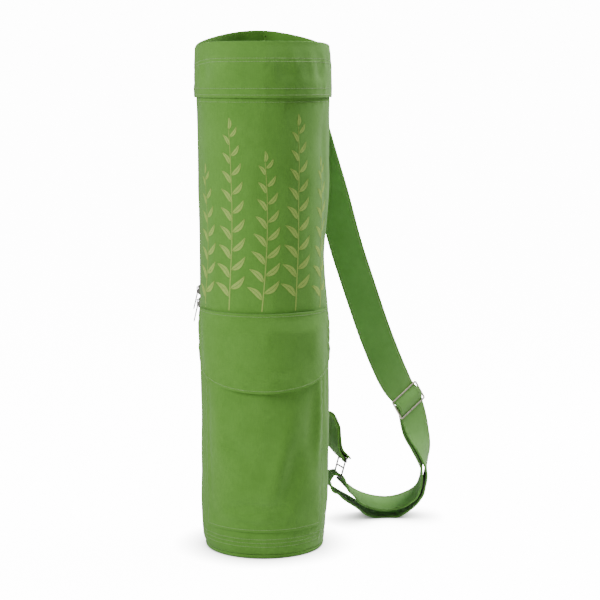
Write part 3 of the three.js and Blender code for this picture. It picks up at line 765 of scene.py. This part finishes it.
def wall_station(turn, height, out):
    a = math.radians(turn)
    radius = tube_radius + out
    cup = math.sqrt(radius ** 2 - strap_width ** 2 / 4) - radius
    return {"place": on_tube(turn, height, out), "side": (-math.cos(a), -math.sin(a), 0),
            "cup": cup * 1000}


strap_floor = strap_thick / 2 + seat * 3


def free_station(row):
    return {"place": Vector((row["out"] * strap_reach, row["back"] * strap_back,
                             row["up"] * seam_height + strap_floor)),
            "side": row["side"], "cup": row.get("cup", 0)}


beside_bar = bar_thick / 2 + bar_clear + strap_thick / 2
hold = seat * 2 + strap_thick / 2
second = beside_bar + strap_thick + seat
strap_stations = [
    wall_station(strap_turn, seam_height - seat - 0.0005, hold),
    wall_station(strap_turn, seam_height - 0.010, hold),
    wall_station(strap_turn, seam_height - 0.022, hold + 0.001),
    *[free_station(row) for row in fall_stations],
    slide.station(-bar_pitch, -beside_bar),
    slide.station(0, beside_bar),
    slide.station(bar_pitch, -beside_bar),
    *[free_station(row) for row in loop_outer],
    *[ring.station(row["down"] * bar_pitch, row["off"] * bar_pitch, row["far"] * bar_pitch)
      for row in ring_turn],
    ring.station(bar_pitch - beside_bar * 0.87, beside_bar * 0.49),
    *[ring.station(row["down"] * bar_pitch, row["off"] * bar_pitch, row["far"] * bar_pitch)
      for row in ring_leave],
    *[free_station(row) for row in loop_inner],
    slide.station(bar_pitch, -second - 0.0004),
    slide.station(0.0005, -beside_bar - 0.0001),
    slide.station(-bar_pitch * 0.36, -beside_bar - 0.0001),
]
strap_rows = band_rows(strap_stations, 11)


def strap_relief(along, across):
    """Small waves of the strap, stronger at its stitched edges."""
    edge = abs(across) / (strap_width / 2)
    wave = noise.noise(Vector((along / 0.030, across / 0.030, 7.7))) * 0.00035
    return wave + noise.noise(Vector((along / 0.009, round(across / 0.03), 2.2))) * 0.00028 * edge ** 4


def strap_place(across, along, lift=-strap_thick / 2):
    return band_place(strap_rows[along], across, strap_width, lift + strap_relief(along, across))


strap_across = spaced(-strap_width / 2, strap_width / 2, 0.0037, (-strap_seam, strap_seam))
strap = cloth("shoulder_strap_cloth", strap_across, list(strap_rows), strap_place)
finish_cloth(strap, strap_thick, edge=0.0007)
dress(strap, strap_canvas_painted_light, stands_for=["shoulder_strap"])


# Lower tab: a short strip of the wall's twill, sewn to the wall at both ends and folded round
# the ring's upper bar.
tab_thick = 0.0020
tab_width = 0.041
tab_seam = tab_width / 2 - 0.0030
tab_top = 0.182
tab_turn = 129
tab_middle = [
    {"out": 0.318, "back": 0.404, "up": 0.287, "side": (0.56, -0.83, 0.02)},
    {"out": 0.352, "back": 0.446, "up": 0.279, "side": (0.50, -0.86, 0.08)},
    {"out": 0.386, "back": 0.506, "up": 0.247, "side": (0.42, -0.84, 0.30)},
    {"out": 0.423, "back": 0.600, "up": 0.189, "side": (0.25, -0.93, 0.20)},
]
tab_spread = [0.5, 0.5, 0.5, 0.56, 0.66, 0.8, 1.0]
tab_hold = seat * 2 + tab_thick + seat / 2
tab_line = [
    wall_station(tab_turn, tab_top, tab_hold),
    wall_station(tab_turn, tab_top - 0.006, tab_hold),
    wall_station(tab_turn, tab_top - 0.011, tab_hold + 0.0008),
    *[{"place": Vector((row["out"] * strap_reach, row["back"] * strap_back, row["up"] * seam_height)),
       "side": row["side"], "cup": -1.2} for row in tab_middle],
]
tab_end = ring.spot(0, -bar_pitch, 0)
tab_points = [station["place"] for station in tab_line] + [tab_end]


def tab_layer(sign):
    layer = []
    for i, (station, spread) in enumerate(zip(tab_line, tab_spread)):
        t = i / len(tab_line)
        along = (smooth_point(tab_points, min(1, t + 0.0001), True)
                 - smooth_point(tab_points, max(0, t - 0.0001), True)).normalized()
        face = along.cross(Vector(station["side"])).normalized()
        layer.append({"place": station["place"] + face * (sign * spread * (tab_thick + seat)),
                      "side": station["side"], "cup": -sign * station["cup"]})
    return layer


tab_wrap = bar_thick / 2 + bar_clear + tab_thick / 2
tab_arrive = tab_end - tab_line[-1]["place"]
tab_heading = math.atan2(tab_arrive.dot(ring.z), tab_arrive.dot(ring.y))
tab_round = []
for turn in (90, 45, 0, -45, -90):
    a = tab_heading + math.radians(turn)
    tab_round.append({"place": ring.spot(0, -bar_pitch + tab_wrap * math.cos(a), tab_wrap * math.sin(a)),
                      "side": -ring.x, "cup": 0})
tab_rows = band_rows([*tab_layer(-1), *tab_round, *reversed(tab_layer(1))], 7)


def tab_place(across, along, lift=-tab_thick / 2):
    return band_place(tab_rows[along], across, tab_width, lift)


tab_across = spaced(-tab_width / 2, tab_width / 2, 0.0035, (-tab_seam, tab_seam))
tab = cloth("lower_tab_cloth", tab_across, list(tab_rows), tab_place)
finish_cloth(tab, tab_thick, edge=0.0006)
dress(tab, leaf_canvas, stands_for=["lower_tab"])


# Zip: a woven tape behind each edge of the wall. A row of nylon teeth is sewn along each tape,
# and the two rows are closed from top to bottom.
zip_foot = 0.008
zip_top = seam_height - seat * 2
tape_half = 0.013
tape_thick = 0.001
coil_half = 0.0026
zip_step = 0.006
tooth = {"long": 0.0034, "tall": 0.00105, "deep": 0.0019, "pitch": 0.00125}


def zip_at(across, height, out):
    return on_tube(zip_turn + tube_turn(across), height, out)


def repeated(name, shape, places):
    """Many copies of a small shape in one piece. Each place is the matrix of one copy."""
    corners = [place @ vertex.co for place in places for vertex in shape.data.vertices]
    size = len(shape.data.vertices)
    faces = [[i * size + v for v in face.vertices]
             for i in range(len(places)) for face in shape.data.polygons]
    shape.data.clear_geometry()
    shape.data.from_pydata(corners, [], faces)
    shape.name = name
    shape.data.shade_smooth()
    return shape


def bead(segments, rings, size):
    """A small rounded bar, for one tooth or one stitch. Size is its length, width and height."""
    bpy.ops.object.select_all(action="DESELECT")
    bpy.ops.mesh.primitive_uv_sphere_add(segments=segments, ring_count=rings, radius=0.5,
                                         rotation=(0, math.pi / 2, 0))
    shape = bpy.context.object
    bpy.ops.object.transform_apply(rotation=True)
    for vertex in shape.data.vertices:
        vertex.co = [part * length for part, length in zip(vertex.co, size)]
    return shape


woven_tape = Finish(bpy.data.materials.new("green_zip_tape"))
tape_flat = woven_tape.node("TexCoord", output=2)
rib = woven_tape.node("TexWave", {"wave_type": "BANDS", "bands_direction": "X"},
                      {"Vector": tape_flat, "Scale": 260, "Distortion": 0.6}, output=1)
pick = woven_tape.node("TexWave", {"wave_type": "BANDS", "bands_direction": "Y"},
                       {"Vector": tape_flat, "Scale": 340, "Distortion": 0.8}, output=1)
tape_bump = woven_tape.node("Bump", {}, {"Strength": 0.6, "Distance": 0.0003,
                                         "Height": rib * 0.7 + pick * 0.5})
woven_tape.shade(Base_Color=mixed(woven_tape, (0.045, 0.105, 0.020), (0.085, 0.175, 0.040),
                                  rib * 0.5 + pick * 0.5),
                 Roughness=0.75, Normal=tape_bump, Sheen_Weight=0.15)
nylon = Finish(bpy.data.materials.new("green_nylon"))
nylon_place = nylon.node("TexCoord", output=3)
nylon_cloud = nylon.node("TexNoise", {}, {"Vector": nylon_place, "Scale": 300, "Detail": 2}, output=0)
nylon.shade(Base_Color=mixed(nylon, (0.050, 0.120, 0.024), (0.085, 0.180, 0.042), nylon_cloud),
            Roughness=nylon_cloud * 0.15 + 0.28, Coat_Weight=0.2)

for side, hand in (("front", 1), ("back", -1)):
    near, far = sorted((hand * 0.0002, hand * tape_half))
    tape = cloth(f"zip_tape_{side}", spaced(near, far, 0.0032), spaced(zip_foot, zip_top, zip_step),
                 lambda u, v: zip_at(u, v, -canvas_thick - seat * 2))
    finish_cloth(tape, tape_thick, edge=0.0003)
    dress(tape, woven_tape.made, stands_for=["zip_tape"])
core = cloth("zip_coil_core", spaced(-coil_half, coil_half, 0.0026), spaced(zip_foot, zip_top, zip_step),
             lambda u, v: zip_at(u, v, -0.0006))
finish_cloth(core, 0.0010, edge=0.0002)
dress(core, nylon.made)
for side, hand in (("front", 1), ("back", -1)):
    spots = []
    count = int((zip_top - zip_foot - 0.002) / tooth["pitch"])
    for i in range(count):
        height = zip_foot + 0.001 + (i + (0.5 if hand < 0 else 0)) * tooth["pitch"]
        spot = zip_at(hand * (coil_half - tooth["long"] / 2), height, 0.00005)
        across = (zip_at(0.001, height, 0) - zip_at(-0.001, height, 0)).normalized()
        up = (zip_at(0, height + 0.001, 0) - zip_at(0, height - 0.001, 0)).normalized()
        turned = Matrix((across, across.cross(up), up)).transposed().to_4x4()
        spots.append(Matrix.Translation(spot) @ turned)
    teeth = repeated(f"zip_teeth_{side}", bead(6, 4, (tooth["long"], tooth["deep"], tooth["tall"])), spots)
    dress(teeth, nylon.made, stands_for=["zip_coil"])


# Fittings: the cast sliders and pulls, the strap's slide and the tab's ring keep their built
# shape. Their edges are rounded off, and they are plated in dark or pale nickel. The ring's nickel
# is darkened further to paint the shade it hangs in.
def plated(name, deep, lit, rough):
    """Plated zinc: a smooth metal with faint clouds and fine scratches."""
    metal = Finish(bpy.data.materials.new(name))
    place = metal.node("TexCoord", output=3)
    cloud = metal.node("TexNoise", {}, {"Vector": place, "Scale": 220, "Detail": 3}, output=0)
    drawn = metal.node("Mapping", {}, {"Vector": place, "Scale": (1500, 1500, 130)})
    scratch = metal.node("TexNoise", {}, {"Vector": drawn, "Scale": 1, "Detail": 3}, output=0)
    bump = metal.node("Bump", {}, {"Strength": 0.12, "Distance": 0.0001, "Height": scratch})
    metal.shade(Base_Color=mixed(metal, deep, lit, cloud), Metallic=1.0,
                Roughness=cloud * 0.14 + scratch * 0.08 + rough, Normal=bump)
    return metal.made


# Painted shade: the ring's nickel is made darker than the sliders' for the shade the ring hangs in.
ring_nickel_painted_shade = plated("ring_nickel_painted_shade_plate", (0.10, 0.095, 0.09), (0.22, 0.21, 0.20), 0.22)
dark_nickel = plated("dark_nickel_plate", (0.25, 0.24, 0.22), (0.42, 0.40, 0.37), 0.20)
pale_nickel = plated("pale_nickel_plate", (0.62, 0.57, 0.42), (0.80, 0.76, 0.62), 0.18)
fittings = [
    {"node": "zip_slider_upper", "finish": dark_nickel, "slot": "dark_nickel", "edge": 0.0003},
    {"node": "zip_slider_lower", "finish": dark_nickel, "slot": "dark_nickel", "edge": 0.0003},
    {"node": "zip_pull_upper", "finish": dark_nickel, "slot": "dark_nickel", "edge": 0.0002},
    {"node": "zip_pull_lower", "finish": dark_nickel, "slot": "dark_nickel", "edge": 0.0002},
    {"node": "ladder_ring", "finish": ring_nickel_painted_shade, "slot": "dark_nickel", "edge": 0.0002},
    {"node": "slide_buckle", "finish": pale_nickel, "slot": "pale_nickel", "edge": 0.0002},
]
for fitting in fittings:
    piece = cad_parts[fitting["node"]]
    piece.data.materials.clear()
    piece.data.materials.append(fitting["finish"])
    joined = piece.modifiers.new("joined", "WELD")
    joined.merge_threshold = 0.00002
    rounded = piece.modifiers.new("rounded", "BEVEL")
    rounded.width = fitting["edge"]
    rounded.segments = 2
    rounded.limit_method = "ANGLE"
    rounded.angle_limit = math.radians(40)
    rounded.harden_normals = True


# Topstitching: rows of pale green thread along every seam, hem and edge of the cloth.
feel = 0.0008
stitch = {"pitch": 0.0034, "long": 0.0027, "wide": 0.00082, "tall": 0.0007}
thread = Finish(bpy.data.materials.new("green_thread"))
thread_place = thread.node("TexCoord", output=3)
twist = thread.node("TexNoise", {}, {"Vector": thread_place, "Scale": 900, "Detail": 2}, output=0)
thread.shade(Base_Color=mixed(thread, (0.210, 0.370, 0.110), (0.350, 0.540, 0.220), twist),
             Roughness=0.6, Sheen_Weight=0.2)


def row_of_stitches(line, start, end):
    """Places of the stitches of one row. The line gives a spot for a distance and a height."""
    steps = max(2, int(abs(end - start) / feel))
    spots = [line(lerp(start, end, i / steps), 0) for i in range(steps + 1)]
    places = []
    gone = 0
    due = stitch["pitch"] / 2
    for i in range(steps):
        gap = (spots[i + 1] - spots[i]).length
        while gone + gap >= due:
            t = (due - gone) / gap
            spot = spots[i].lerp(spots[i + 1], t)
            ahead = (spots[i + 1] - spots[i]).normalized()
            out = line(lerp(start, end, (i + t) / steps), 0.001) - spot
            out = (out - ahead * out.dot(ahead)).normalized()
            turned = Matrix((ahead, out.cross(ahead), out)).transposed().to_4x4()
            places.append(Matrix.Translation(spot + out * stitch["tall"] * 0.12) @ turned)
            due += stitch["pitch"]
        gone += gap
    return places


def sewn(name, rows):
    """One piece with all the stitches of these rows: each row is a line, its start and its end."""
    places = [place for row in rows for place in row_of_stitches(*row)]
    size = (stitch["long"], stitch["wide"], stitch["tall"])
    dress(repeated(name, bead(6, 4, size), places), thread.made)


def round_row(at):
    """A row right round the tube. The distance is in metres along the tube's girth."""
    return (lambda s, out: at(tube_turn(s), out), -girth / 2, girth / 2)


sewn("collar_stitches",
     [round_row(lambda turn, out, row=row: collar_place(turn, row / (rim_at(turn) - seam_height), out))
      for row in collar_rows]
     + [round_row(lambda turn, out, row=row:
                  collar_place(turn, 1 - row / (rim_at(turn) - seam_height), out))
        for row in hem_rows])
zip_gap = half_slot + 0.001
wall_row = (zip_gap, girth - zip_gap)
sewn("wall_stitches",
     [(lambda s, out, row=row: wall(zip_turn + tube_turn(s), row, out), *wall_row)
      for row in (*foot_rows, seam_height - 0.005)]
     + [(lambda s, out, off=off: wall(zip_turn + tube_turn(off), s, out), body_foot + 0.001,
         seam_height - 0.002)
        for off in (half_slot + 0.0035, -half_slot - 0.0035)])
sewn("pocket_stitches",
     [(lambda s, out: pocket_place(tube_turn(s), pocket_row, out), -pocket_edge, pocket_edge),
      (lambda s, out: pocket_place(-tube_turn(pocket_edge), s, out), pocket_row, pocket_top - 0.002),
      (lambda s, out: pocket_place(tube_turn(pocket_edge), s, out), pocket_row, pocket_top - 0.002)])


flap_in = 1 - 0.0030 / (flap_width / 2)
flap_hem = 0.0032


def flap_edge(s, out):
    """Round the flap's free edge, a little way in, by angle from its left top to its right top."""
    a = s / (flap_width / 2)
    across = math.sin(a) * flap_in
    share = flap_hem / flap_length(across)
    return flap_place(across, share, out)


quarter = math.pi / 2 * flap_width / 2
sewn("flap_stitches",
     [(flap_edge, -quarter, quarter),
      (lambda s, out: flap_place(-flap_in, s, out), 0.06, 0.97),
      (lambda s, out: flap_place(flap_in, s, out), 0.06, 0.97),
      (lambda s, out: flap_place(s / (flap_width / 2), 0.965, out), -flap_width / 2 + 0.004,
       flap_width / 2 - 0.004)])


def along_band(rows, across, width, face, relief):
    """A line along one face of a band of cloth, by distance from the band's start."""
    stops = list(rows)

    def line(s, out):
        i = min(len(stops) - 2, bisect.bisect_right(stops, s) - 1)
        t = (s - stops[i]) / (stops[i + 1] - stops[i])
        lift = face + math.copysign(out, face) + relief(s, across)
        ends = [band_place(rows[stop], across, width, lift) for stop in stops[i:i + 2]]
        return ends[0].lerp(ends[1], t)

    return line


strap_end = list(strap_rows)[-1]
tab_end_at = list(tab_rows)[-1]
sewn("strap_stitches",
     [(along_band(strap_rows, across, strap_width, face, strap_relief), 0.002, strap_end - 0.001)
      for across in (-strap_seam, strap_seam)
      for face in (-strap_thick / 2, strap_thick / 2)])
sewn("tab_stitches",
     [(along_band(tab_rows, across, tab_width, face, lambda s, across: 0), 0.001, tab_end_at - 0.001)
      for across in (-tab_seam, tab_seam)
      for face in (-tab_thick / 2, tab_thick / 2)])


# Print: upright sprays of slender leaves in pale yellow-green ink on the front of the wall. The
# ink is a thin film that follows the cloth.
ink_lift = 0.00022
ink_thick = 0.00014
vein = 0.0005
sprays = [
    {"foot": -0.089, "from": 0.318, "tall": 0.168, "lean": 0.008, "pairs": 7, "leaf": 0.023},
    {"foot": -0.045, "from": 0.318, "tall": 0.224, "lean": 0.006, "pairs": 9, "leaf": 0.025},
    {"foot": -0.001, "from": 0.318, "tall": 0.184, "lean": 0.008, "pairs": 8, "leaf": 0.024},
    {"foot": 0.043, "from": 0.318, "tall": 0.228, "lean": 0.006, "pairs": 9, "leaf": 0.025},
    {"foot": 0.087, "from": 0.318, "tall": 0.176, "lean": 0.008, "pairs": 7, "leaf": 0.023},
]
ink_spots = []
ink_faces = []


def inked(edge_a, edge_b):
    """A strip of ink between two lines on the flat cloth, given as across and height."""
    first = len(ink_spots)
    for a, b in zip(edge_a, edge_b):
        for t in (0, 0.5, 1):
            spot = a.lerp(b, t)
            ink_spots.append(wall(tube_turn(spot.x), spot.y, ink_lift))
    turned = (edge_b[1] - edge_a[1]).cross(edge_a[2] - edge_a[1]) < 0
    for i in range(len(edge_a) - 1):
        for j in (0, 1):
            face = [first + 3 * i + j, first + 3 * i + j + 1, first + 3 * i + j + 4, first + 3 * i + j + 3]
            ink_faces.append(face[::-1] if turned else face)


def leaf(root, heading, length, wide):
    """A lance-shaped leaf in two halves with a bare vein between them."""
    ahead = Vector((math.sin(heading), math.cos(heading)))
    beside = Vector((ahead.y, -ahead.x))
    stops = [i / 8 for i in range(9)]
    middle = [root + ahead * (length * t) + beside * (0.10 * length * math.sin(math.pi * t)) for t in stops]
    for hand in (-1, 1):
        inner = [spot + beside * (hand * vein / 2) for spot in middle]
        outer = [spot + beside * (hand * (vein / 2 + wide / 2 * math.sin(math.pi * t ** 0.75)))
                 for spot, t in zip(middle, stops)]
        inked(inner, outer)


for spray in sprays:
    stem = [Vector((spray["foot"] + spray["lean"] * math.sin(2.4 * t), spray["from"] + spray["tall"] * t))
            for t in [i / 24 for i in range(25)]]
    half = [Vector((lerp(0.0008, 0.0003, i / 24), 0)) for i in range(25)]
    inked([spot - off for spot, off in zip(stem, half)], [spot + off for spot, off in zip(stem, half)])
    for k in range(spray["pairs"]):
        t = 0.10 + 0.84 * k / (spray["pairs"] - 1)
        size = spray["leaf"] * (1.06 - 0.50 * t ** 2)
        for hand in (-1, 1):
            at = t + 0.022 * hand
            root = Vector((spray["foot"] + spray["lean"] * math.sin(2.4 * at),
                           spray["from"] + spray["tall"] * at))
            leaf(root + Vector((hand * 0.0009, 0)), hand * math.radians(lerp(52, 34, t)), size, size * 0.27)
    leaf(stem[-1] + Vector((0, 0.0006)), 0.0, spray["leaf"] * 0.6, spray["leaf"] * 0.17)
print_mesh = bpy.data.meshes.new("leaf_print")
print_mesh.from_pydata(ink_spots, [], ink_faces)
leaf_print = bpy.data.objects.new("leaf_print", print_mesh)
bpy.context.collection.objects.link(leaf_print)
bpy.context.view_layer.objects.active = leaf_print
film = leaf_print.modifiers.new("film", "SOLIDIFY")
film.thickness = ink_thick
film.offset = -1
bpy.ops.object.modifier_apply(modifier="film")
ink = Finish(bpy.data.materials.new("pale_green_ink"))
ink_place = ink.node("TexCoord", output=3)
worn = ink.node("TexNoise", {}, {"Vector": ink_place, "Scale": 500, "Detail": 4}, output=0)
ink_bump = ink.node("Bump", {}, {"Strength": 0.4, "Distance": 0.0002, "Height": worn})
ink.shade(Base_Color=mixed(ink, (0.25, 0.42, 0.060), (0.43, 0.60, 0.125), worn), Roughness=0.8,
          Normal=ink_bump)
leaf_print.data.materials.append(ink.made)
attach(leaf_print, "bag")
